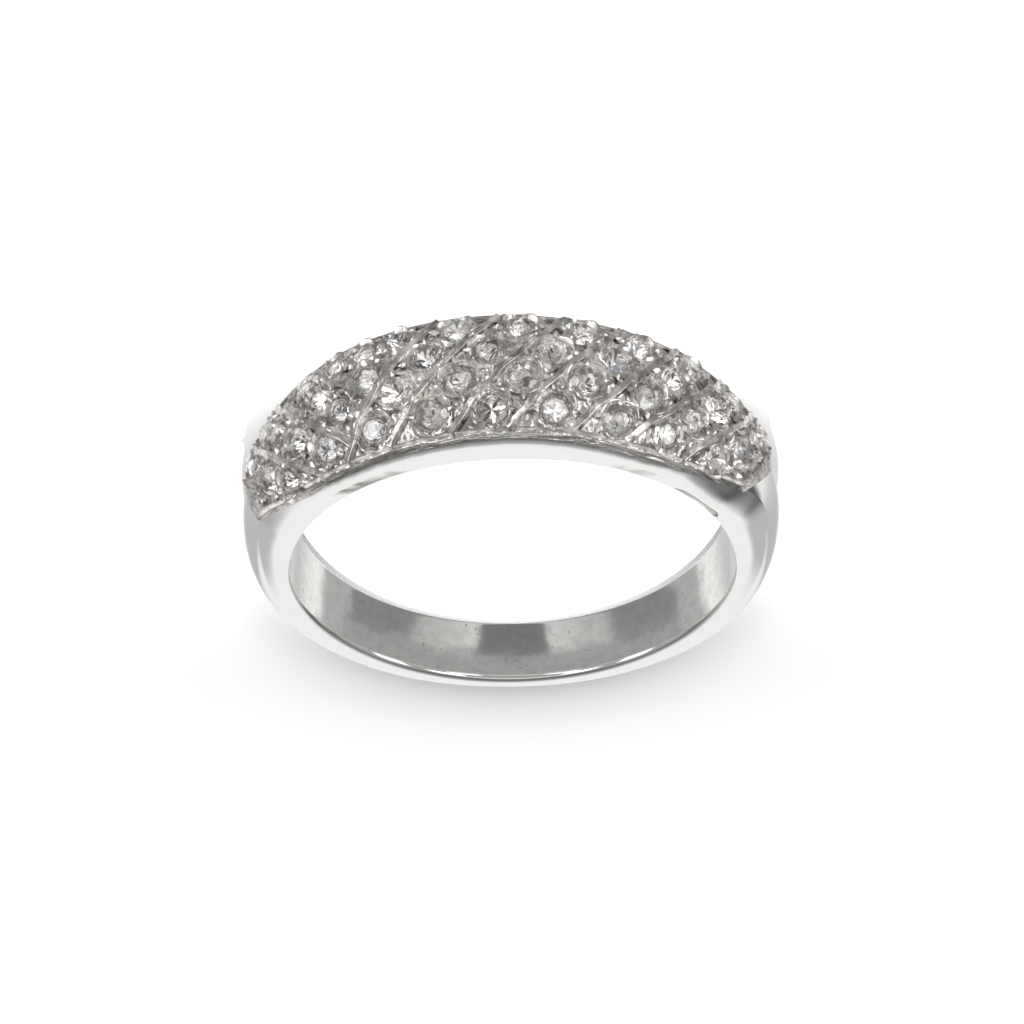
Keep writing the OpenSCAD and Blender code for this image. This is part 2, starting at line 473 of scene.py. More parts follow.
@dataclass(frozen=True)
class StoneLayout:
    """Where the stones, the ridges and the ends of the stone field lie on the head."""

    rows: tuple[StoneRow, ...] = (
        StoneRow(-65.7, -6.3, -1.92, 0.92, 4, 1.16),
        StoneRow(-53.3, -7.0, -1.70, 0.95, 4, 1.30),
        StoneRow(-39.1, -5.2, -0.52, 0.98, 3, 1.22),
        StoneRow(-29.4, -0.8, 0.45, 1.40, 2, 1.32),
        StoneRow(-38.5, 0.0, 1.80, 1.00, 1, 1.20),
        StoneRow(-23.3, 0.0, 1.95, 1.00, 1, 1.20),
        StoneRow(-20.0, 4.9, -1.83, 1.22, 4, 1.40),
        StoneRow(-7.3, 4.9, -1.83, 1.22, 4, 1.40),
        StoneRow(5.1, 5.1, -1.83, 1.22, 4, 1.40),
        StoneRow(17.7, 5.0, -1.83, 1.22, 4, 1.40),
        StoneRow(31.0, 4.9, -1.83, 1.22, 4, 1.38),
        StoneRow(44.6, 6.3, -1.85, 0.97, 4, 1.30),
        StoneRow(58.2, 6.4, -1.72, 0.92, 4, 1.16),
    )
    ridges: tuple[Ridge, ...] = (
        Ridge(-60.6, -6.70, -3.0, 0.20),
        Ridge(-46.8, -6.05, -2.1, 0.20),
        Ridge(-31.5, -7.20, -0.5, 0.17),
        Ridge(-25.8, 4.20, -3.0, 0.20),
        Ridge(-14.1, 4.65, -3.0, 0.20),
        Ridge(-0.5, 4.75, -3.0, 0.20),
        Ridge(11.4, 4.90, -3.0, 0.20),
        Ridge(24.9, 5.15, -3.0, 0.20),
        Ridge(38.4, 5.85, -3.0, 0.20),
        Ridge(51.7, 5.70, -3.0, 0.20),
    )
    start: HeadLine = HeadLine(-74.0, -2.5)
    end: HeadLine = HeadLine(68.3, 5.3)
    rim_w: float = 0.14
    rim_in: float = 0.04
    rim_h: float = 0.12

    def rim_middle(self, form: BandForm, angle: float) -> float:
        """Gives the place across of the rim's middle."""
        return form.size(angle, "border_w") - self.rim_in - self.rim_w / 2

    def to_rim(self, form: BandForm, line: HeadLine, side: int) -> float:
        """Finds where a line meets the rim.

        Args:
            form: the band's form.
            line: the slanting line.
            side: -1 for the front, 1 for the back.

        Returns:
            The place across.
        """
        y = 1.5
        for _ in range(8):
            y = self.rim_middle(form, line.at(side * y))
        return side * y

    def stones(self) -> Iterable[tuple[float, float, StoneRow]]:
        """Lists the stones.

        Yields:
            Each stone's angle, place across and row.
        """
        for row in self.rows:
            for i in range(row.count):
                y = row.first + row.step * i
                yield row.at(y), y, row

    def inside(self, angle: float, y: float) -> bool:
        """Tells whether a place on the crown is inside the stone field's ends."""
        return self.start.at(y) < angle < self.end.at(y)


# --------------------------------------------------------------------- shader wiring


class Wire:
    """A shader socket that can be used in Python sums."""

    def __init__(self, book: "NodeBook", socket: bpy.types.NodeSocket | None) -> None:
        """Keeps the socket and the tree that it belongs to."""
        self.book = book
        self.socket = socket

    def _math(self, operation: str, *values: object) -> "Wire":
        """Adds a Math node on values or wires."""
        return self.book.add("ShaderNodeMath", dict(enumerate(values)), operation=operation)

    def __add__(self, other: object) -> "Wire":
        """Adds."""
        return self._math("ADD", self, other)

    __radd__ = __add__

    def __mul__(self, other: object) -> "Wire":
        """Multiplies."""
        return self._math("MULTIPLY", self, other)

    def __sub__(self, other: object) -> "Wire":
        """Subtracts."""
        return self._math("SUBTRACT", self, other)

    def __rsub__(self, other: float) -> "Wire":
        """Subtracts this from a value."""
        return self._math("SUBTRACT", other, self)

    def __abs__(self) -> "Wire":
        """Drops the sign."""
        return self._math("ABSOLUTE", self)

    def root(self) -> "Wire":
        """Takes the square root."""
        return self._math("POWER", self, 0.5)

    def angle_to(self, other: "Wire") -> "Wire":
        """Gives the angle whose tangent is this over the other."""
        return self._math("ARCTAN2", self, other)

    def band(self, low: float, high: float) -> "Wire":
        """Rises softly from 0 at low to 1 at high."""
        values = {0: self, 1: low, 2: high, 3: 0.0, 4: 1.0}
        return self.book.add("ShaderNodeMapRange", values, interpolation_type="SMOOTHSTEP")

    def window(self, rise: Place, fall: Place) -> "Wire":
        """Is 1 between a soft rise and a soft fall, and 0 outside them."""
        return self.band(*rise) - self.band(*fall)

    def outputs(self, *keys: int | str) -> list["Wire"]:
        """Gives several outputs of this socket's node."""
        return [Wire(self.book, self.socket.node.outputs[key]) for key in keys]


class NodeBook:
    """Writes the nodes of one material or world."""

    def __init__(self, tree: bpy.types.NodeTree) -> None:
        """Starts with an empty tree."""
        self.tree = tree
        self.tree.nodes.clear()

    def add(
        self,
        kind: str,
        inputs: dict[int | str, object] | None = None,
        output: int | str = 0,
        **settings: object,
    ) -> Wire:
        """Adds a node.

        Args:
            kind: the node's type.
            inputs: values or wires by the socket's name or number.
            output: the socket that is given back.
            settings: properties of the node, which are set first.

        Returns:
            The wire of that output.
        """
        node = self.tree.nodes.new(kind)
        for key, value in settings.items():
            setattr(node, key, value)
        for key, value in (inputs or {}).items():
            if isinstance(value, Wire):
                self.tree.links.new(value.socket, node.inputs[key])
            else:
                node.inputs[key].default_value = value
        return Wire(self, node.outputs[output] if len(node.outputs) else None)

    def place(self, lean: float = 0.0) -> Wire:
        """Gives Object coordinates in millimetres, turned back by a lean.

        Args:
            lean: the angle in degrees.

        Returns:
            The vector.
        """
        inputs = {
            "Vector": self.add("ShaderNodeTexCoord", output="Object"),
            "Rotation": (math.radians(lean), 0, 0),
            "Scale": (1 / MM,) * 3,
        }
        return self.add("ShaderNodeMapping", inputs)

    def round_the_ring(self, lean: float) -> tuple[Wire, Wire, Wire]:
        """Gives Object coordinates in millimetres on the ring's own axis.

        Args:
            lean: the angle that the ring's axis leans by, in degrees.

        Returns:
            The angle round the axis in radians, the distance from it, and the place along it.
        """
        x, y, z = self.add("ShaderNodeSeparateXYZ", {0: self.place(lean)}).outputs(0, 1, 2)
        return x.angle_to(y), (x * x + y * y).root(), z

    def noise(
        self, scale: float, detail: float = 2.0, roughness: float = 0.5, at: Wire | None = None
    ) -> Wire:
        """Gives a noise from 0 to 1.

        Args:
            scale: features per millimetre.
            detail: octaves.
            roughness: how strong the finer octaves are.
            at: where it is read, if not at the Object coordinates.

        Returns:
            The noise.
        """
        inputs = {"Scale": scale, "Detail": detail, "Roughness": roughness}
        return self.add("ShaderNodeTexNoise", {"Vector": at or self.place(), **inputs})

    def mix(self, share: object, low: object, high: object) -> Wire:
        """Mixes two colours.

        Args:
            share: how much of the second.
            low: the first colour, or its wire.
            high: the second colour, or its wire.

        Returns:
            The mixed colour.
        """
        low, high = (c if isinstance(c, Wire) else (*c, 1.0) for c in (low, high))
        return self.add("ShaderNodeMix", {0: share, 6: low, 7: high}, 2, data_type="RGBA")


# --------------------------------------------------------------------- finishes


class Finish:
    """A named material. Each finish wires its own shader."""

    name: str

    def wire(self, book: NodeBook) -> Wire:
        """Wires the shader."""
        raise NotImplementedError

    def material(self) -> bpy.types.Material:
        """Builds the material.

        Returns:
            The material.
        """
        material = bpy.data.materials.new(self.name)
        material.use_nodes = True
        book = NodeBook(material.node_tree)
        book.add("ShaderNodeOutputMaterial", {"Surface": self.wire(book)})
        return material

    @staticmethod
    def metal(
        book: NodeBook,
        colour: Wire,
        roughness: Wire,
        relief: Wire,
        depth: float,
        share: float = 1.0,
    ) -> Wire:
        """Wires a metal with a relief.

        Args:
            book: the material's nodes.
            colour: its colour.
            roughness: its roughness.
            relief: the relief's height from 0 to 1.
            depth: how deep the relief is, in millimetres.
            share: how strongly the relief shows.

        Returns:
            The shader.
        """
        bump = {"Strength": share, "Distance": depth * MM, "Height": relief}
        inputs = {
            "Base Color": colour,
            "Metallic": 1.0,
            "Roughness": roughness,
            "Normal": book.add("ShaderNodeBump", bump),
        }
        return book.add("ShaderNodeBsdfPrincipled", inputs)


@dataclass(frozen=True)
class PolishedMetal(Finish):
    """White metal polished to a mirror, rubbed a little in patches."""

    name: str = "polished_white_metal"
    bright: Colour = (0.90, 0.895, 0.88)
    worn: Colour = (0.84, 0.835, 0.82)
    roughness: float = 0.05
    wear: float = 0.06
    patches: float = 0.9
    scratches: float = 14.0
    depth: float = 0.02
    share: float = 0.03

    def wire(self, book: NodeBook) -> Wire:
        """Wires the shader.

        Args:
            book: the material's nodes.

        Returns:
            The shader.
        """
        fine = book.noise(self.scratches, 4.0, 0.65)
        rub = book.noise(self.patches, 3.0).band(0.45, 0.7) * fine.band(0.4, 0.7)
        tone = book.mix(rub, self.bright, self.worn)
        roughness = rub * self.wear + self.roughness
        return self.metal(book, tone, roughness, fine, self.depth, self.share)


@dataclass(frozen=True)
class WornMetal(Finish):
    """White metal of the finger hole's wall, with soft waves, rubbed patches and small pits."""

    name: str = "worn_white_metal"
    bright: Colour = (0.90, 0.89, 0.865)
    rubbed: Colour = (0.80, 0.795, 0.78)
    pitted: Colour = (0.50, 0.49, 0.47)
    roughness: float = 0.06
    wear: float = 0.10
    waves: float = 0.55
    patches: float = 2.6
    pits: float = 6.0
    pit_groups: float = 0.8
    depth: float = 0.04

    def wire(self, book: NodeBook) -> Wire:
        """Wires the shader.

        Args:
            book: the material's nodes.

        Returns:
            The shader.
        """
        cloud = book.noise(self.patches, 4.0, 0.6)
        pits = book.noise(self.pits, 2.0).band(0.66, 0.72)
        pits = pits * book.noise(self.pit_groups, 1.0).band(0.46, 0.60)
        tone = book.mix(cloud.band(0.40, 0.66), self.bright, self.rubbed)
        tone = book.mix(pits, tone, self.pitted)
        relief = book.noise(self.waves, 1.0) + cloud * 0.05 - pits * 0.05
        return self.metal(book, tone, cloud * self.wear + self.roughness, relief, self.depth)


@dataclass(frozen=True)
class BrightCut(Finish):
    """The bright-cut bevel, with fine streaks of the graver along it."""

    lean: float
    name: str = "bright_cut_white_metal"
    light: Colour = (0.98, 0.955, 0.93)
    dark: Colour = (0.48, 0.455, 0.43)
    roughness: float = 0.07
    wear: float = 0.12
    fineness: float = 7.0
    depth: float = 0.05

    def wire(self, book: NodeBook) -> Wire:
        """Wires the shader.

        Args:
            book: the material's nodes.

        Returns:
            The shader.
        """
        parts = (part * self.fineness for part in book.round_the_ring(self.lean))
        place = book.add("ShaderNodeCombineXYZ", dict(enumerate(parts)))
        streaks = book.noise(1.0, 3.0, 0.6, place)
        tone = book.mix(streaks.band(0.38, 0.62), self.dark, self.light)
        return self.metal(book, tone, streaks * self.wear + self.roughness, streaks, self.depth)


@dataclass(frozen=True)
class CutMetal(Finish):
    """White metal cut and raised by hand tools, satin and greyer in places."""

    name: str = "cut_white_metal"
    light: Colour = (0.95, 0.918, 0.888)
    dark: Colour = (0.50, 0.475, 0.455)
    roughness: float = 0.13
    wear: float = 0.14
    patches: float = 2.2
    fineness: float = 5.0
    marks: float = 0.35
    facets: float = 0.0
    facet_scale: float = 3.0
    depth: float = 0.04

    def wire(self, book: NodeBook) -> Wire:
        """Wires the shader.

        Args:
            book: the material's nodes.

        Returns:
            The shader.
        """
        marks = book.noise(self.fineness, 3.0, 0.55)
        relief = marks * self.marks
        if self.facets:
            cells = {"Vector": book.place(), "Scale": self.facet_scale}
            relief = relief + book.add("ShaderNodeTexVoronoi", cells, "Distance") * self.facets
        cloud = book.noise(self.patches, 3.0).band(0.35, 0.65)
        tone = book.mix(cloud, self.dark, self.light)
        return self.metal(book, tone, marks * self.wear + self.roughness, relief, self.depth)


@dataclass(frozen=True)
class ClearStone(Finish):
    """The upper facets of a cut colourless stone."""

    name: str = "clear_cut_stone"
    tint: Colour = (1.0, 1.0, 1.0)
    index: float = 1.8
    mirror: float = 0.12
    haze: float = 0.02

    def wire(self, book: NodeBook) -> Wire:
        """Wires the shader.

        Args:
            book: the material's nodes.

        Returns:
            The shader.
        """
        inputs = {
            "Base Color": (*self.tint, 1.0),
            "Roughness": book.noise(1.2) * self.haze,
            "IOR": self.index,
            "Transmission Weight": 1.0,
            "Metallic": self.mirror,
        }
        return book.add("ShaderNodeBsdfPrincipled", inputs)


@dataclass(frozen=True)
class PaintedGlintBack(Finish):
    """The stone's lower facets, mirrors that send the light back up, with painted glints: each
    facet glows and is brighter or darker by its own share of painted glint.
    """

    name: str = "stone_lower_facets_painted_glints"
    share: str = "play"
    warm: Colour = (1.0, 0.93, 0.87)
    cool: Colour = (0.90, 0.95, 1.0)
    # Painted shade: the dim mirror colour of facets without a painted glint.
    faint: Colour = (0.10, 0.10, 0.105)
    black: Colour = (0.0, 0.0, 0.0)
    # How strongly the painted glints glow, though no lamp is there.
    strength: float = 1.3

    def wire(self, book: NodeBook) -> Wire:
        """Wires the shader.

        Args:
            book: the material's nodes.

        Returns:
            The shader.
        """
        # Painted glints: a facet's share makes its mirror colour bright and makes it glow, in a
        # warm or cool tint.
        play = book.add("ShaderNodeAttribute", output="Fac", attribute_name=self.share)
        hue = book.mix(book.noise(1.5).band(0.35, 0.65), self.warm, self.cool)
        inputs = {
            "Base Color": book.mix(play, self.faint, hue),
            "Metallic": 1.0,
            "Roughness": 0.0,
            "Emission Color": book.mix(play, self.black, hue),
            "Emission Strength": self.strength,
        }
        return book.add("ShaderNodeBsdfPrincipled", inputs)


@dataclass(frozen=True)
class PaleFloor(Finish):
    """The plain pale floor."""

    name: str = "pale_floor"
    colour: Colour = (0.93, 0.93, 0.93)

    def wire(self, book: NodeBook) -> Wire:
        """Wires a matt shader."""
        return book.add("ShaderNodeBsdfDiffuse", {"Color": (*self.colour, 1.0), "Roughness": 0.6})


# --------------------------------------------------------------------- the metal


@dataclass(frozen=True)
class BarShape:
    """The section of a bar that is laid on the head, and how many cuts it bends with."""

    foot: float
    top: float
    soft: float
    cuts: int = 28


@dataclass(frozen=True)
class Roll:
    """How the side face rolls outward at its crease from one angle on, on one shoulder."""

    first: float
    last: float
    share: float

    def at(self, angle: float) -> float:
        """Gives the share of the roll at an angle."""
        return smooth_step(self.first, self.last, abs(angle)) * self.share


@dataclass
class MetalBand:
    """The cast metal: shank, shoulders and head, with its ridges, rim, grains and seats."""

    form: BandForm
    layout: StoneLayout
    turns: int = 360
    wall_rows: int = 12
    wall_flare: float = 0.045
    flare_reach: float = 1.2
    crisp_edge_h: float = 0.08
    edge_rows: int = 7
    side_rows: tuple[float, ...] = (0, 0.1, 0.22, 0.36, 0.5, 0.6, 0.7, 0.79, 0.87)
    crown_rows: int = 15
    head_tilt: float = 18.0
    shoulder_tilt: float = 43.0
    shank_soft: Place = (66, 112)
    left_roll: Roll = Roll(52, 70, 1.0)
    right_roll: Roll = Roll(36, 58, 1.15)
    undercut: float = 0.03
    waver: float = 0.012
    sink: float = 0.12
    ridge: BarShape = BarShape(0.40, 0.24, 0.05)
    ridge_sway: float = 0.25
    sway_rate: float = 5.1
    end_strip: BarShape = BarShape(0.60, 0.54, 0.03)
    end_strip_h: float = 0.04
    end_strip_in: float = 0.14
    grain_r: float = 0.15
    grain_gap: float = 0.10
    grain_length: float = 1.6
    grain_lift: float = 0.04
    bead_r: float = 0.09
    bead_gap: float = 0.14
    end_pitch: float = 0.36
    end_gaps: Place = (0.22, 0.42)
    end_margin: float = 0.16
    collar_tube: float = 0.1
    collar_h: float = 1.066
    collar_gap: float = 0.05
    seat_gap: float = 0.02
    seat_depth: float = 0.45
    field_reach: float = 80.0
    field_depth: float = 0.8
    smooth_angle: float = 32.0
    polish: PolishedMetal = PolishedMetal()
    cut: CutMetal = CutMetal()
    hewn: CutMetal = CutMetal("hewn_white_metal", facets=2.2)
    engraved: CutMetal = CutMetal("engraved_white_metal", fineness=9.0, marks=2.4)
    worn: WornMetal = WornMetal()
    name: str = "ring_metal"
    rng: random.Random = field(default_factory=lambda: random.Random(7))

    @staticmethod
    def _curve(start: Place, bend: Place, end: Place, steps: int) -> list[Place]:
        """Draws a curve from start to end that leaves and arrives towards its bend.

        Args:
            start: the first point.
            bend: the point that both ends head for.
            end: the last point.
            steps: how many stretches it has.

        Returns:
            The curve's points, both ends with them.
        """
        shares = [i / steps for i in range(steps + 1)]
        return [between(between(start, bend, t), between(bend, end, t), t) for t in shares]

    @staticmethod
    def _heading(*points: Place) -> Vector:
        """Gives the mean direction along two or three points, as a unit vector."""
        legs = [(Vector(b) - Vector(a)).normalized() for a, b in zip(points, points[1:])]
        return sum(legs, Vector((0.0, 0.0))).normalized()

    @staticmethod
    def _sweep(start: Place, leave: Vector, end: Place, arrive: Vector, t: float) -> Place:
        """Gives a point on a smooth curve with set directions at its ends."""
        run = (Vector(end) - Vector(start)).length
        return tuple(hermite(Vector(start), leave * run, Vector(end), arrive * run, t))

    @staticmethod
    def _roll(
        low: Place, crease: Place, tilt: float, begin: float, t: float
    ) -> Place:
        """Gives a point on a side face that rolls outward to a set tilt at its crease.

        Args:
            low: the face's lowest point.
            crease: its crease.
            tilt: how far the face leans back at the crease, in degrees.
            begin: the share of its height where the roll begins.
            t: the share of its height.

        Returns:
            The point.
        """
        run = crease[1] - low[1]
        lean, part = math.tan(math.radians(tilt)), (1 - begin) / 2
        start = ((crease[0] - low[0]) / run + part * lean) / (1 - part)
        x = max(t - begin, 0.0) / (1 - begin)
        rolled = (1 - begin) * (x**3 - x**4 / 2)
        return (low[0] + run * (start * t - (lean + start) * rolled), low[1] + run * t)

    def _half_outline(self, angle: float) -> list[Place]:
        """Gives half of a section's outline, from the middle of the hole's wall to the crown.

        On the head the side face rolls over to a crisp crease with a flat bevel above it. On the
        shank one smooth curve goes through the same points.

        Args:
            angle: degrees from the head's middle.

        Returns:
            Points as a place across and a height.
        """
        s = self.form.section(angle)
        soft = smooth_step(*self.shank_soft, abs(angle))
        head = 1.0 - soft
        lip = (s.side_w - self.form.soft_edge_w, self.wall_flare)
        points = []
        for i in range(self.wall_rows):
            y = lip[0] * i / self.wall_rows
            flare = smooth_ramp(y, lip[0] - self.flare_reach, lip[0])
            points.append((y, self.wall_flare * flare))
        low = (s.side_w, self.form.soft_edge_h * soft + self.crisp_edge_h * head)
        corner = (s.side_w - 0.02 * soft, self.wall_flare + 0.03 * soft)
        rows = self.edge_rows
        edge = [
            between(point, corner, 1.7 * head * math.sqrt(i * (rows - i)) / rows)
            for i, point in enumerate(self._curve(lip, corner, low, rows))
        ]
        rolled = (self.right_roll if angle > 0 else self.left_roll).at(angle)
        shake = math.sin(math.radians(47 * angle)) + 0.7 * math.sin(math.radians(83 * angle + 40))
        shake *= head * self.waver * (1 - 0.8 * min(1.0, 2 * rolled))
        crease = (s.crease_w - self.undercut * (1 - rolled) + 0.4 * shake, s.crease_h)
        border = (s.border_w - shake, s.border_h + shake)
        inner = [(k * s.border_w, self.form.top_h(angle, k * s.border_w, s)) for k in (0.84, 0.6)]
        at_low = self._heading(edge[-2], low, crease)
        at_crease = self._heading(low, crease, border)
        at_border = self._heading(crease, border, inner[0])
        at_inner = self._heading(border, *inner)
        tilt = self.head_tilt + (self.shoulder_tilt - self.head_tilt) * rolled

        def side(t: float) -> Place:
            """Gives a point on the side face."""
            sharp = self._roll(low, crease, tilt, 0.58 - 0.5 * rolled, t)
            return between(sharp, self._sweep(low, at_low, crease, at_crease, t), soft)

        def bevel(t: float) -> Place:
            """Gives a point on the bevel."""
            smooth = self._sweep(crease, at_crease, border, at_border, t)
            return between(between(crease, border, t), smooth, soft)

        def shoulder(t: float) -> Place:
            """Gives a point on the crown's outer part."""
            y = border[0] + (inner[0][0] - border[0]) * t
            smooth = self._sweep(border, at_border, inner[0], at_inner, t)
            return between((y, self.form.top_h(angle, y, s)), smooth, soft)

        points += edge[:-1] + [side(t) for t in self.side_rows]
        points += self._curve(side(0.94), crease, bevel(0.16), 4) + [bevel(0.38), bevel(0.62)]
        points += self._curve(bevel(0.84), border, shoulder(0.12), 4)
        points += [shoulder(0.4), shoulder(0.7)]
        for i in range(self.crown_rows + 1):
            t = i / self.crown_rows
            y = inner[0][0] * (1 - t + (math.cos(math.pi / 2 * t) - 1 + t) * soft)
            points.append((y, self.form.top_h(angle, y, s)))
        return points

    def _outline(self, angle: float) -> list[Place]:
        """Gives the whole closed outline of a section."""
        half = self._half_outline(angle)
        return half + [(-y, h) for y, h in reversed(half[1:-1])]

    def _body(self) -> bpy.types.Object:
        """Spins one section round the finger hole and draws each copy to its own section.

        Returns:
            The body, in millimetres on the ring's own axis.
        """
        first = self._outline(0.0)
        circle = bpy.ops.mesh.primitive_circle_add
        body = Bench.start(circle, vertices=len(first), radius=1.0)
        bpy.ops.object.mode_set(mode="EDIT")
        mesh = bmesh.from_edit_mesh(body.data)
        mark = mesh.verts.layers.int.new("outline_point")
        for i, vert in enumerate(mesh.verts):
            vert[mark] = i
            vert.co = self.form.point(0.0, *first[i])
        bmesh.update_edit_mesh(body.data)
        bpy.ops.mesh.select_all(action="SELECT")
        bpy.ops.mesh.spin(steps=self.turns, angle=2 * math.pi, center=(0, 0, 0), axis=(0, 0, 1))
        bpy.ops.mesh.select_all(action="SELECT")
        bpy.ops.mesh.remove_doubles(threshold=0.0005)
        mesh = bmesh.from_edit_mesh(body.data)
        mark = mesh.verts.layers.int["outline_point"]
        outlines: dict[float, list[Place]] = {}
        for vert in mesh.verts:
            angle = math.degrees(math.atan2(-vert.co.x, -vert.co.y))
            angle = round(angle * self.turns / 360) * 360 / self.turns
            if angle not in outlines:
                outlines[angle] = self._outline(angle)
            vert.co = self.form.point(angle, *outlines[angle][vert[mark]])
        bmesh.update_edit_mesh(body.data)
        bpy.ops.mesh.normals_make_consistent(inside=False)
        bpy.ops.object.mode_set(mode="OBJECT")
        return body

    @staticmethod
    def _lengthwise(edge: bmesh.types.BMEdge) -> bool:
        """Tells whether an edge runs along a bar."""
        return abs(edge.verts[0].co.x - edge.verts[1].co.x) > 0.5

    def _bar(self, shape: BarShape) -> bpy.types.Object:
        """Makes a straight bar with a narrower, softened top, 1 long along X and 1 high.

        Args:
            shape: its section and cuts.

        Returns:
            The bar.
        """
        bar = Bench.start(bpy.ops.mesh.primitive_cube_add, size=1.0, location=(0, 0, 0.5))
        for point in bar.data.vertices:
            point.co.y *= shape.top if point.co.z > 0.5 else shape.foot
        bpy.ops.object.mode_set(mode="EDIT")

        def upper(edge: bmesh.types.BMEdge) -> bool:
            """Tells whether an edge runs along the bar's top."""
            return self._lengthwise(edge) and all(v.co.z > 0.5 for v in edge.verts)

        Bench.pick(bar, "EDGE", upper)
        bpy.ops.mesh.bevel(offset=shape.soft, segments=3, affect="EDGES")
        Bench.pick(bar, "EDGE", self._lengthwise)
        bpy.ops.mesh.subdivide(number_cuts=shape.cuts)
        bpy.ops.object.mode_set(mode="OBJECT")
        return bar

    def _lay(
        self, shape: BarShape, path: Callable[[float], Place], height: float
    ) -> bpy.types.Object:
        """Lays a bar along a path on the head.

        Args:
            shape: the bar's section and cuts.
            path: gives an angle and a place across at a share of the length.
            height: how high the bar stands over the crown.

        Returns:
            The bar.
        """
        bar, step = self._bar(shape), 0.01

        def place(co: Vector) -> Vector:
            """Gives a bar point's place on the head.

            Args:
                co: the point on the straight bar.

            Returns:
                Its place on the ring's own axes.
            """
            t = co.x + 0.5
            angle, y = path(t)
            a0, y0 = path(max(t - step, 0.0))
            a1, y1 = path(min(t + step, 1.0))
            per_degree = self.form.mm_per_degree(angle, y)
            along = Vector(((a1 - a0) * per_degree, y1 - y0)).normalized()
            angle_off = -along.y * co.y / per_degree
            y_off = along.x * co.y
            h = self.form.top_h(angle, y) + co.z * (self.sink + height) - self.sink
            return self.form.point(angle + angle_off, y + y_off, h)

        Bench.reshape(bar, place)
        return bar

    def _slant(
        self,
        line: HeadLine,
        shape: BarShape,
        height: float,
        start: float,
        shift: float,
        sway: float,
    ) -> bpy.types.Object:
        """Lays a bar along a slanting line, from the rim or a later start to the other rim.

        Args:
            line: the slanting line.
            shape: the bar's section and cuts.
            height: how high it stands over the crown.
            start: the place across before which it doesn't start.
            shift: how far it lies off the line, in degrees.
            sway: how far it wavers as cut by hand, in degrees.

        Returns:
            The bar.
        """
        low = max(self.layout.to_rim(self.form, line, -1), start)
        high = self.layout.to_rim(self.form, line, 1)

        def path(t: float) -> Place:
            """Gives the bar's angle and place across."""
            y = low + (high - low) * t
            return line.at(y) + shift + sway * math.sin(self.sway_rate * y + line.angle), y

        return self._lay(shape, path, height)

    def _ridges(self) -> list[bpy.types.Object]:
        """Makes the slanting ridges."""
        return [
            self._slant(ridge, self.ridge, ridge.height, ridge.start, 0.0, self.ridge_sway)
            for ridge in self.layout.ridges
        ]

    def _end_strips(self) -> list[bpy.types.Object]:
        """Makes the engraved strips at the ends of the stone field.

        Returns:
            The two strips.
        """
        strips = []
        for line, inward in ((self.layout.start, 1), (self.layout.end, -1)):
            shift = inward * self.end_strip_in / self.form.mm_per_degree(line.angle, 0.0)
            strip = self._slant(line, self.end_strip, self.end_strip_h, -math.inf, shift, 0.0)
            strips.append(strip)
        return strips

    def _rim(self) -> list[bpy.types.Object]:
        """Makes the thin rim round the stone field.

        Returns:
            Its two sides.
        """
        bars, lay = [], self.layout
        for side in (-1, 1):
            ends = [line.at(lay.to_rim(self.form, line, side)) for line in (lay.start, lay.end)]

            def edge(t: float) -> Place:
                """Gives the rim's angle and place across."""
                angle = ends[0] + (ends[1] - ends[0]) * t
                return angle, side * lay.rim_middle(self.form, angle)

            shape = BarShape(lay.rim_w, lay.rim_w * 0.55, 0.02, 110)
            bars.append(self._lay(shape, edge, lay.rim_h))
        return bars

    @staticmethod
    def _leaf(co: Vector) -> Vector:
        """Pinches a ball into a leaf with a pointed outer end and a crest along it.

        Args:
            co: a point of the ball.

        Returns:
            The leaf's point.
        """
        narrow = 1.0 - 0.4 * smooth_step(0.0, 1.0, co.x)
        crest = 1.0 - 0.45 * min(abs(co.y) * 1.4, 1.0)
        return Vector((co.x * (1.1 if co.x > 0 else 0.85), co.y * narrow, co.z * crest))

    def _grain(
        self, leaf: bpy.types.Object, seat: Matrix, spin: float, out: Sequence[float], size: float
    ) -> bpy.types.Object:
        """Raises one grain, tipped a little as by hand.

        Args:
            leaf: the grain to copy.
            seat: the frame that it stands on.
            spin: the way that it points, in radians.
            out: how far it stands off the frame's middle, turned its way.
            size: half its width.

        Returns:
            The grain.
        """
        place = (
            seat
            @ Matrix.Rotation(spin, 4, "Z")
            @ Matrix.Translation(out)
            @ Matrix.Rotation(self.rng.uniform(0.05, 0.3), 4, "Y")
            @ Matrix.Diagonal((size * self.grain_length, size, size, 1.0))
        )
        return Bench.copy_at(leaf, place)

    def _grains(self) -> list[bpy.types.Object]:
        """Raises the hand-cut grains: those at the ends, then eight round each stone.

        Returns:
            The grains.
        """
        leaf = Bench.start(bpy.ops.mesh.primitive_ico_sphere_add, subdivisions=1, radius=1.0)
        Bench.reshape(leaf, self._leaf)
        grains = self._end_grains(leaf)
        for angle, y, row in self.layout.stones():
            seat = self.form.seat_frame(angle, y)
            turn = math.atan2(1.0, row.lean * self.form.mm_per_degree(row.angle, 0.0))
            room = self.layout.rim_middle(self.form, angle) - abs(y)
            for eighth in range(8):
                spin = turn + math.pi / 4 * (eighth + 1) + self.rng.uniform(-0.16, 0.16)
                large, small = (self.grain_r, self.grain_gap), (self.bead_r, self.bead_gap)
                radius, gap = small if eighth % 2 else large
                size = radius * self.rng.uniform(0.85, 1.15)
                out = row.diameter / 2 + gap + self.rng.uniform(-0.02, 0.04)
                outward = abs(math.sin(spin)) if math.sin(spin) * -y > 0 else 0.0
                if outward * (out + size) > room:
                    size *= 0.8
                    out = max(room / outward - size, row.diameter / 2)
                grains.append(self._grain(leaf, seat, spin, (out, 0.0, self.grain_lift), size))
        bpy.data.objects.remove(leaf)
        return grains

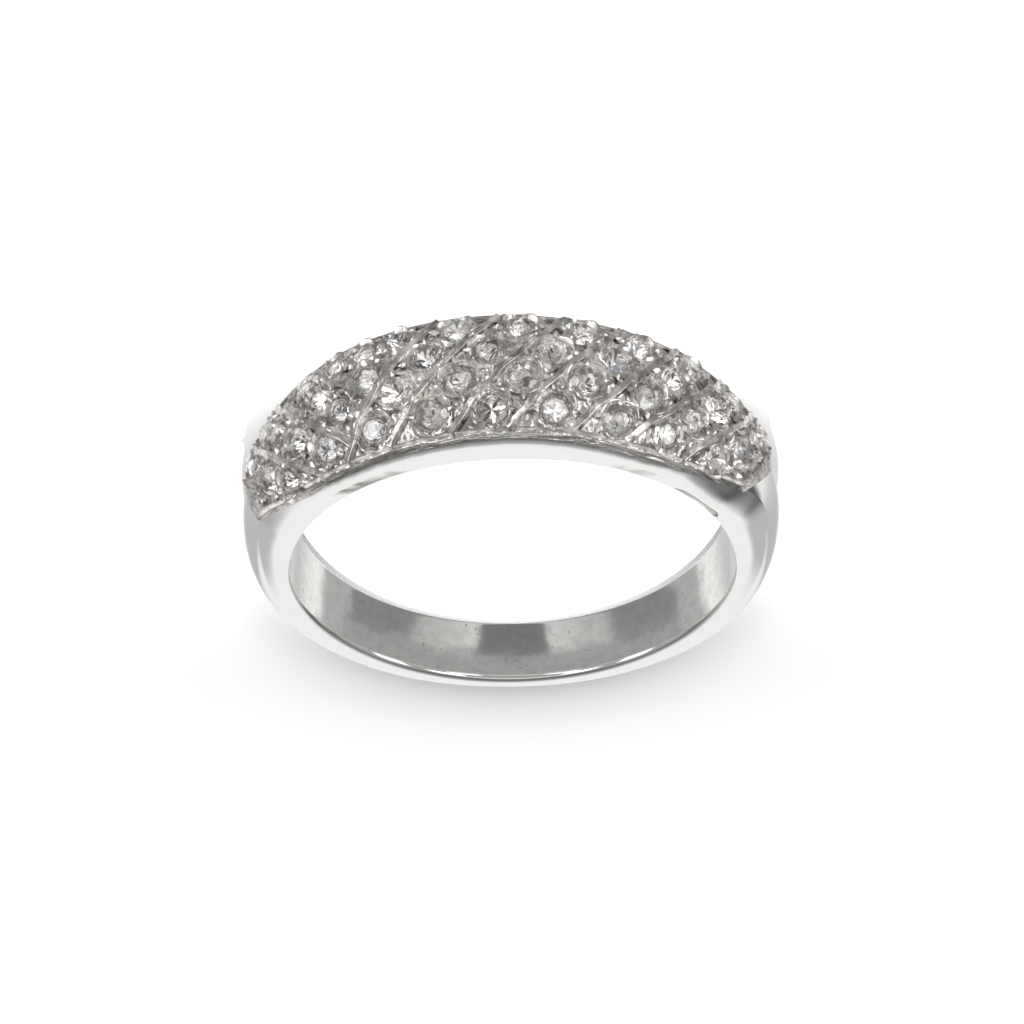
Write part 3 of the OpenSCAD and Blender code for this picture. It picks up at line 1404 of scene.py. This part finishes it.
    def _end_grains(self, leaf: bpy.types.Object) -> list[bpy.types.Object]:
        """Fills the metal between the last stones and the end strips with grains.

        Args:
            leaf: the grain to copy.

        Returns:
            The grains.
        """
        grains = []
        lay, form = self.layout, self.form
        for row, line, way in ((lay.rows[0], lay.start, 0.0), (lay.rows[-1], lay.end, math.pi)):
            for half in range(-1, 2 * row.count):
                y = row.first + row.step * half / 2
                near, far = row.at(y), line.at(y)
                length = abs(far - near) * form.mm_per_degree(near, y)
                by_stone, between_stones = self.end_gaps
                reach = between_stones if half % 2 else row.diameter / 2 + by_stone
                while reach < length - self.end_strip_in - self.end_strip.foot / 2:
                    angle = near + (far - near) * (reach / length)
                    reach += self.end_pitch
                    if abs(y) > lay.rim_middle(form, angle) - self.end_margin:
                        continue
                    size = self.grain_r * self.rng.uniform(0.9, 1.3)
                    spin = way + self.rng.uniform(-0.5, 0.5)
                    seat = form.seat_frame(angle, y)
                    grains.append(self._grain(leaf, seat, spin, (0, 0, 0), size))
        return grains

    def _collars(self) -> list[bpy.types.Object]:
        """Raises a collar of four crescents of metal round each stone.

        Returns:
            The collars.
        """
        tube = self.collar_tube
        torus = {"major_radius": 1.0, "minor_radius": tube, "major_segments": 40}
        master = Bench.start(bpy.ops.mesh.primitive_torus_add, minor_segments=6, **torus)
        bpy.ops.object.shade_smooth()
        collars = []
        for angle, y, row in self.layout.stones():
            turn = math.atan2(1.0, row.lean * self.form.mm_per_degree(row.angle, 0.0))
            turn += self.rng.uniform(-0.15, 0.15)
            full = self.rng.uniform(1.1, 1.5)

            def crescent(co: Vector) -> Vector:
                """Swells the collar between the grains and sharpens its upper edge.

                Args:
                    co: a point of the plain collar.

                Returns:
                    Its new place.
                """
                a, ring = math.atan2(co.y, co.x), math.hypot(co.x, co.y)
                share = 0.9 + full * (0.5 + 0.5 * math.cos(4 * (a - turn))) ** 1.5
                blade = 1.0 - 0.75 * max(co.z, 0.0) / tube
                out = 1.0 + 0.05 * share + (ring - 1.0) * share * blade
                return Vector((co.x / ring * out, co.y / ring * out, co.z * share))

            collar = Bench.copy_at(master, Matrix.Identity(4))
            Bench.reshape(collar, crescent)
            reach = row.diameter / 2 + self.collar_gap
            shape = Matrix.Diagonal((reach, reach, self.collar_h, 1.0))
            lift = Matrix.Translation((0, 0, self.rng.uniform(-0.02, 0.02)))
            collar.data.transform(self.form.seat_frame(angle, y) @ lift @ shape)
            collars.append(collar)
        bpy.data.objects.remove(master)
        return collars

    def _seat_cutter(self) -> bpy.types.Object:
        """Makes the cutter that sinks a flared conical seat under each stone.

        Returns:
            The cutter.
        """
        cone = {"radius1": 0.0, "radius2": 0.5, "depth": self.seat_depth}
        middle = (0, 0, -self.seat_depth / 2)
        add = bpy.ops.mesh.primitive_cone_add
        master = Bench.start(add, vertices=40, location=middle, **cone)
        bpy.ops.object.mode_set(mode="EDIT")
        Bench.pick(master, "FACE", lambda face: all(v.co.z > -0.001 for v in face.verts))
        for rise, grow in ((0.02, 1.0), (0.10, 1.2), (0.4, 1.0)):
            bpy.ops.mesh.extrude_region_move(TRANSFORM_OT_translate={"value": (0, 0, rise)})
            bpy.ops.transform.resize(value=(grow, grow, 1.0))
        bpy.ops.object.mode_set(mode="OBJECT")
        cutters = []
        for angle, y, row in self.layout.stones():
            size = row.diameter + 2 * self.seat_gap
            shape = Matrix.Diagonal((size, size, size, 1.0))
            cutters.append(Bench.copy_at(master, self.form.seat_frame(angle, y) @ shape))
        bpy.data.objects.remove(master)
        return Bench.join(cutters, "seat_cutter")

    def _zone(self, centre: Vector) -> Zone:
        """Tells which finish a face of the body has.

        Args:
            centre: the face's middle.

        Returns:
            The zone.
        """
        angle = math.degrees(math.atan2(-centre.x, -centre.y))
        y = -centre.z
        h = math.hypot(centre.x, centre.y) - self.form.hole_r
        s = self.form.section(angle)
        if h < self.wall_flare + 0.003:
            return Zone.WALL
        if abs(angle) > self.field_reach or h < self.form.top_h(angle, y, s) - self.field_depth:
            return Zone.POLISHED
        if self.layout.inside(angle, y) and abs(y) < s.border_w - 0.02:
            return Zone.HEWN
        inside = self.layout.inside(angle, math.copysign(s.border_w, y))
        cut = inside and h > s.crease_h and abs(y) > s.border_w - 0.04
        return Zone.BEVEL if cut else Zone.POLISHED

    def build(self) -> bpy.types.Object:
        """Builds and dresses the metal.

        Returns:
            The finished piece.
        """
        lean = self.form.rest_lean()
        dressed = (self.polish, self.hewn, BrightCut(lean), self.worn, self.cut, self.engraved)
        finishes = [finish.material() for finish in dressed]

        def dress(zone: Zone, *pieces: bpy.types.Object) -> None:
            """Gives pieces the metal's finishes, with one of them all over.

            Args:
                zone: the finish that they show.
                pieces: the objects.
            """
            for piece in pieces:
                for finish in finishes:
                    piece.data.materials.append(finish)
                for face in piece.data.polygons:
                    face.material_index = zone

        body, cutter = self._body(), self._seat_cutter()
        LOG.info("body: %d faces", len(body.data.polygons))
        dress(Zone.POLISHED, body)
        dress(Zone.HEWN, cutter)
        Bench.modify(body, "BOOLEAN", operation="DIFFERENCE", object=cutter, solver="MANIFOLD")
        bpy.data.objects.remove(cutter)
        LOG.info("body with seats: %d faces", len(body.data.polygons))
        for face in body.data.polygons:
            if face.material_index == Zone.POLISHED:
                face.material_index = self._zone(face.center)
        strips = self._end_strips()
        reliefs = self._ridges() + self._rim() + self._grains() + self._collars()
        dress(Zone.CUT, *reliefs)
        dress(Zone.ENGRAVED, *strips)
        metal = Bench.join([body, *reliefs, *strips], self.name)
        Bench.take(metal)
        bpy.ops.object.shade_smooth_by_angle(angle=math.radians(self.smooth_angle))
        Bench.modify(metal, "WEIGHTED_NORMAL", keep_sharp=True, weight=60)
        Bench.set_down(metal, lean)
        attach(metal, BODY)
        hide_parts("ring_band")
        return metal


# --------------------------------------------------------------------- the stones


@dataclass
class StoneField:
    """The cut stones in their seats."""

    form: BandForm
    layout: StoneLayout
    table: float = 0.56
    crown_angle: float = 34.0
    star_angle: float = 21.5
    upper_half_angle: float = 43.0
    pavilion_angle: float = 40.8
    lower_half_angle: float = 41.8
    girdle: float = 0.03
    notch: float = 0.985
    tip: Place = (-3.0, 3.0)
    spin: Place = (0.0, 45.0)
    smallest: float = 0.975
    # Ranges and odds of each facet's painted glint: mostly none, some dim, fewer bright.
    plays: tuple[Place, ...] = ((0.0, 0.06), (0.15, 0.35), (0.7, 1.0))
    weights: tuple[float, ...] = (0.46, 0.32, 0.22)
    finish: ClearStone = ClearStone()
    back: PaintedGlintBack = PaintedGlintBack()
    name: str = "cut_stones"
    rng: random.Random = field(default_factory=lambda: random.Random(11))

    @staticmethod
    def _facet(azimuth: float, slope: float, through: Vector, up: int) -> None:
        """Grinds one flat facet on the stone that is in edit mode.

        Args:
            azimuth: the facet's direction round the stone, in degrees.
            slope: the facet's angle from the girdle's plane, in degrees.
            through: a point that it passes through.
            up: 1 on the crown and -1 on the pavilion.
        """
        a, s = math.radians(azimuth), math.radians(slope)
        normal = (math.sin(s) * math.cos(a), math.sin(s) * math.sin(a), up * math.cos(s))
        bpy.ops.mesh.select_all(action="SELECT")
        bpy.ops.mesh.bisect(
            plane_co=through, plane_no=normal, use_fill=True, clear_outer=True, threshold=0.00001
        )

    def _cut_one(self) -> bpy.types.Object:
        """Cuts a round stone of diameter 1 from a cylinder, with its girdle's top at height 0.

        Returns:
            The stone.
        """
        sizes = {"vertices": 48, "radius": 0.5, "depth": 1.2, "location": (0, 0, -0.2)}
        stone = Bench.start(bpy.ops.mesh.primitive_cylinder_add, **sizes)
        bpy.ops.object.mode_set(mode="EDIT")
        r, eighth = 0.5, math.radians(22.5)
        top = r * (1 - self.table) * math.tan(math.radians(self.crown_angle))

        def point(azimuth: float, radius: float, height: float) -> Vector:
            """Gives a point of the stone."""
            a = math.radians(azimuth)
            return Vector((radius * math.cos(a), radius * math.sin(a), height))

        self._facet(0.0, 0.0, point(0.0, 0.0, top), 1)
        star_r = r * self.table * math.cos(eighth)
        for k in range(8):
            main, half = 45.0 * k, 45.0 * k + 22.5
            self._facet(main, self.crown_angle, point(main, r, 0.0), 1)
            self._facet(main, self.pavilion_angle, point(main, r, -self.girdle), -1)
            self._facet(half, self.star_angle, point(half, star_r, top), 1)
            self._facet(half, self.upper_half_angle, point(half, r * self.notch, 0.0), 1)
            self._facet(half, self.lower_half_angle, point(half, r, -self.girdle), -1)
        bpy.ops.mesh.select_all(action="SELECT")
        bpy.ops.mesh.normals_make_consistent(inside=False)
        bpy.ops.object.mode_set(mode="OBJECT")
        bpy.ops.object.shade_flat()
        for finish in (self.finish, self.back):
            stone.data.materials.append(finish.material())
        for face in stone.data.polygons:
            face.material_index = 1 if face.normal.z < 0.3 else 0
        LOG.info("one stone: %d facets", len(stone.data.polygons))
        return stone

    def build(self) -> bpy.types.Object:
        """Sets a stone in each seat.

        Returns:
            The finished piece.
        """
        master = self._cut_one()
        stones = []
        for angle, y, row in self.layout.stones():
            place = self.form.seat_frame(angle, y)
            for axis, (low, high) in zip("XYZ", (self.tip, self.tip, self.spin)):
                turn = math.radians(self.rng.uniform(low, high))
                place = place @ Matrix.Rotation(turn, 4, axis)
            size = row.diameter * self.rng.uniform(self.smallest, 1.0)
            stone = Bench.copy_at(master, place @ Matrix.Diagonal((size, size, size, 1.0)))
            # Gives each facet a random share of painted glint, for the lower facets' painted glow.
            play = stone.data.attributes.new(self.back.share, "FLOAT", "FACE")
            kinds = self.rng.choices(self.plays, self.weights, k=len(stone.data.polygons))
            play.data.foreach_set("value", [self.rng.uniform(*kind) for kind in kinds])
            stones.append(stone)
        bpy.data.objects.remove(master)
        piece = Bench.join(stones, self.name)
        Bench.set_down(piece, self.form.rest_lean())
        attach(piece, BODY)
        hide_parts("pave_stones")
        return piece


# --------------------------------------------------------------------- the studio


@dataclass
class Studio:
    """The floor, the soft light and the camera."""

    form: BandForm
    elevation: float = 56.0
    yaw: float = 0.9
    distance: float = 0.4
    pixels_per_mm: float = 26.0
    centre_px: Place = (511.9, 528.2)
    frame_px: int = 1024
    floor_size: float = 4.0
    key_strength: float = 1.03
    key_spread: float = 25.0
    key_rise: float = 0.55
    key_softness: float = 27.0
    ambient: float = 0.41
    pool_strength: float = 4.9
    pool_height: float = 0.4
    pool_r: float = 0.041
    pool_y: float = -0.030
    low_strength: float = 4.0
    low_place: tuple[float, float, float] = (0.0, -0.35, 0.14)
    low_aim: tuple[float, float, float] = (0.0, -0.114, -0.002)
    low_cone: float = 18.0
    warm: Colour = (1.0, 0.93, 0.87)
    cool: Colour = (0.90, 0.95, 1.0)
    floor: PaleFloor = PaleFloor()

    def _lie(self, ring_direction: Sequence[float]) -> Vector:
        """Turns a direction on the ring's own axes to the room's."""
        turn = Matrix.Rotation(-math.radians(self.form.rest_lean()), 3, "X")
        return turn @ Vector(ring_direction)

    def lay_floor(self, height: float) -> bpy.types.Object:
        """Lays the floor under the ring.

        Args:
            height: the floor's level.

        Returns:
            The floor.
        """
        plane = bpy.ops.mesh.primitive_plane_add
        floor = Bench.start(plane, size=self.floor_size, location=(0, 0, height))
        floor.name = "floor"
        floor.data.materials.append(self.floor.material())
        floor.visible_glossy = False
        floor.visible_transmission = False
        return floor

    def light(self) -> None:
        """Hangs the lights and paints the studio that the metal and the stones mirror."""
        soft = math.radians(self.key_softness)
        for name, turn in (("left", -1), ("middle", 0), ("right", 1)):
            a = math.radians(self.key_spread * turn)
            place = (math.sin(a), -math.cos(a), self.key_rise)
            self._lamp(f"key_{name}", "SUN", self.key_strength, place, (0, 0, 0), angle=soft)
        over, under = ((0.0, self.pool_y, height) for height in (self.pool_height, 0.0))
        cone = 2 * math.atan(self.pool_r / self.pool_height)
        pool = {"spot_size": cone, "spot_blend": 0.3, "shadow_soft_size": 0.004}
        self._lamp("top_pool", "SPOT", self.pool_strength, over, under, **pool)
        cone = math.radians(self.low_cone)
        pool = {"spot_size": cone, "spot_blend": 0.1, "shadow_soft_size": 0.001}
        self._lamp("front_pool", "SPOT", self.low_strength, self.low_place, self.low_aim, **pool)
        self._world()

    @staticmethod
    def _lamp(
        name: str,
        kind: str,
        strength: float,
        place: Sequence[float],
        aim: Sequence[float],
        **settings: float,
    ) -> None:
        """Hangs a lamp that isn't mirrored in the ring.

        Args:
            name: the lamp's name.
            kind: Blender's lamp type.
            strength: its strength.
            place: where it hangs, in metres.
            aim: the point that it looks at.
            settings: its other values.
        """
        data = bpy.data.lights.new(name, kind)
        data.energy = strength
        for key, value in settings.items():
            setattr(data, key, value)
        lamp = bpy.data.objects.new(name, data)
        lamp.location = place
        lamp.rotation_euler = (Vector(aim) - lamp.location).to_track_quat("-Z", "Y").to_euler()
        lamp.visible_glossy = False
        lamp.visible_transmission = False
        bpy.context.scene.collection.objects.link(lamp)

    def _world(self) -> None:
        """Paints the studio: soft panels overhead with dark gaps, and a white table below.

        Directions are read on the ring's own axes: aside is to the right of the view, rise is to
        the ring's head, and front is to the face that is up. Turns are in degrees.
        """
        world = bpy.data.worlds.new("studio")
        world.use_nodes = True
        bpy.context.scene.world = world
        book = NodeBook(world.node_tree)
        way = book.add("ShaderNodeTexCoord", output="Generated")

        def part(*axis: float) -> Wire:
            """Gives how far a direction goes along one of the ring's axes."""
            inputs = {0: way, 1: tuple(self._lie(axis))}
            return book.add("ShaderNodeVectorMath", inputs, "Value", operation="DOT_PRODUCT")

        aside, rise, front = part(-1, 0, 0), part(0, -1, 0), part(0, 0, 1)
        across, right = abs(aside), aside.band(0.0, 0.3)
        turn = across.angle_to(rise) * math.degrees(1)
        patch = turn.window((18, 20), (48, 60)) * (0.48 - turn.band(19, 50) * 0.22)
        behind = 0.20 + turn.band(38, 50) * 0.06 + patch
        middle = front.window((-0.28, -0.22), (0.22, 0.30))
        side = front.window((-0.28, -0.20), (0.5, 0.6))
        fore = front.window((0.42, 0.46), (0.72, 0.78))
        lamp = 0.25 + rise.window((0.36, 0.42), (0.58, 0.64)) * 0.4
        roof = (
            0.37
            + turn.window((14, 18), (30, 34)) * middle * 1.8
            + turn.window((54, 58), (70, 74)) * side * 2.0
            + turn.window((26, 30), (44, 48)) * fore * 2.2
            + front.band(0.80, 0.88) * lamp
        )
        above = roof + (behind - roof) * (1 - front.band(-0.548, -0.505))
        around = across.angle_to(front) * math.degrees(1)
        dip = around.band(35, 75) * 0.43 - around.band(140, 178) * 0.38
        steep = 0.95 - dip * rise.band(-0.97, -0.88)
        slanting = 0.34 - right * around.band(35, 60) * 0.22
        slanting = slanting + around.band(104, 116) * (0.61 + right * 0.22)
        horizon = 0.20 + around.band(90, 115) * 0.26
        below = slanting + (horizon - slanting) * rise.band(-0.46, -0.36)
        below = steep + (below - steep) * rise.band(-0.82, -0.48)
        level = below + (above - below) * rise.band(-0.14, -0.06)
        gap = rise.window((-0.2, -0.1), (0.2, 0.32)) * front.band(0.8, 0.92)
        level = level * (1 - gap * 0.7)
        cell = book.add("ShaderNodeTexVoronoi", {"Vector": way, "Scale": 14.0}, "Color")
        flash, tone, tint = book.add("ShaderNodeSeparateColor", {0: cell}).outputs(0, 1, 2)
        spark = 0.04 + tone * tone * 0.7 + flash.band(0.52, 0.53) * 2.2
        seen, glossy, through, scattered, bounces = book.add("ShaderNodeLightPath").outputs(
            "Is Camera Ray", "Is Glossy Ray", "Is Transmission Ray", "Diffuse Depth", "Glossy Depth"
        )
        level = level + (0.75 - level) * bounces.band(1.2, 1.8) * 0.7
        direct = 1 - scattered.band(0.0, 1.0)
        through = through * direct
        mirrored = glossy * direct * (1 - through)
        plain = (1 - mirrored) * (1 - through) * (1 - seen)
        strength = level * mirrored + spark * through + seen + plain * self.ambient
        hue = book.mix(through, (1.0, 1.0, 1.0), book.mix(tint, self.warm, self.cool))
        shade = book.add("ShaderNodeBackground", {"Color": hue, "Strength": strength})
        world.cycles.sampling_method = "NONE"
        book.add("ShaderNodeOutputWorld", {"Surface": shade})

    def place_camera(self) -> bpy.types.Object:
        """Puts the camera at the photograph's angle to the ring.

        Returns:
            The camera.
        """
        e, yaw = math.radians(self.elevation), math.radians(self.yaw)
        toward = (math.cos(e) * math.sin(yaw), -math.sin(e), math.cos(e) * math.cos(yaw))
        back = self._lie(toward).normalized()
        head = self._lie((0, -1, 0))
        up = (head - back * head.dot(back)).normalized()
        right = up.cross(back)
        turn = Matrix((right, up, back)).transposed()
        middle = self.frame_px / 2
        off_x = (middle - self.centre_px[0]) / self.pixels_per_mm * MM
        off_y = (self.centre_px[1] - middle) / self.pixels_per_mm * MM
        data = bpy.data.cameras.new("camera")
        data.sensor_width = 36.0
        data.lens = self.pixels_per_mm / MM * self.distance * data.sensor_width / self.frame_px
        data.clip_start = 0.01
        data.clip_end = 20.0
        camera = bpy.data.objects.new("camera", data)
        camera.matrix_world = turn.to_4x4()
        camera.location = back * self.distance + right * off_x + up * off_y
        bpy.context.scene.collection.objects.link(camera)
        bpy.context.scene.camera = camera
        return camera


def write_sizes() -> None:
    """Updates the view layer."""
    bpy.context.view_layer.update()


def main() -> None:
    """Builds the ring and its studio in order."""
    logging.basicConfig(level=logging.INFO, format="%(name)s: %(message)s")
    form, layout = BandForm(), StoneLayout()
    studio = Studio(form)
    studio.place_camera()
    for maker in (MetalBand(form, layout), StoneField(form, layout)):
        piece = maker.build()
        LOG.info("%s: %d faces", piece.name, len(piece.data.polygons))
    studio.lay_floor(CAD_BOX[0][2])
    studio.light()
    scene = bpy.context.scene
    scene.view_settings.view_transform = "Standard"
    write_sizes()


if __name__ == "__main__":
    main()
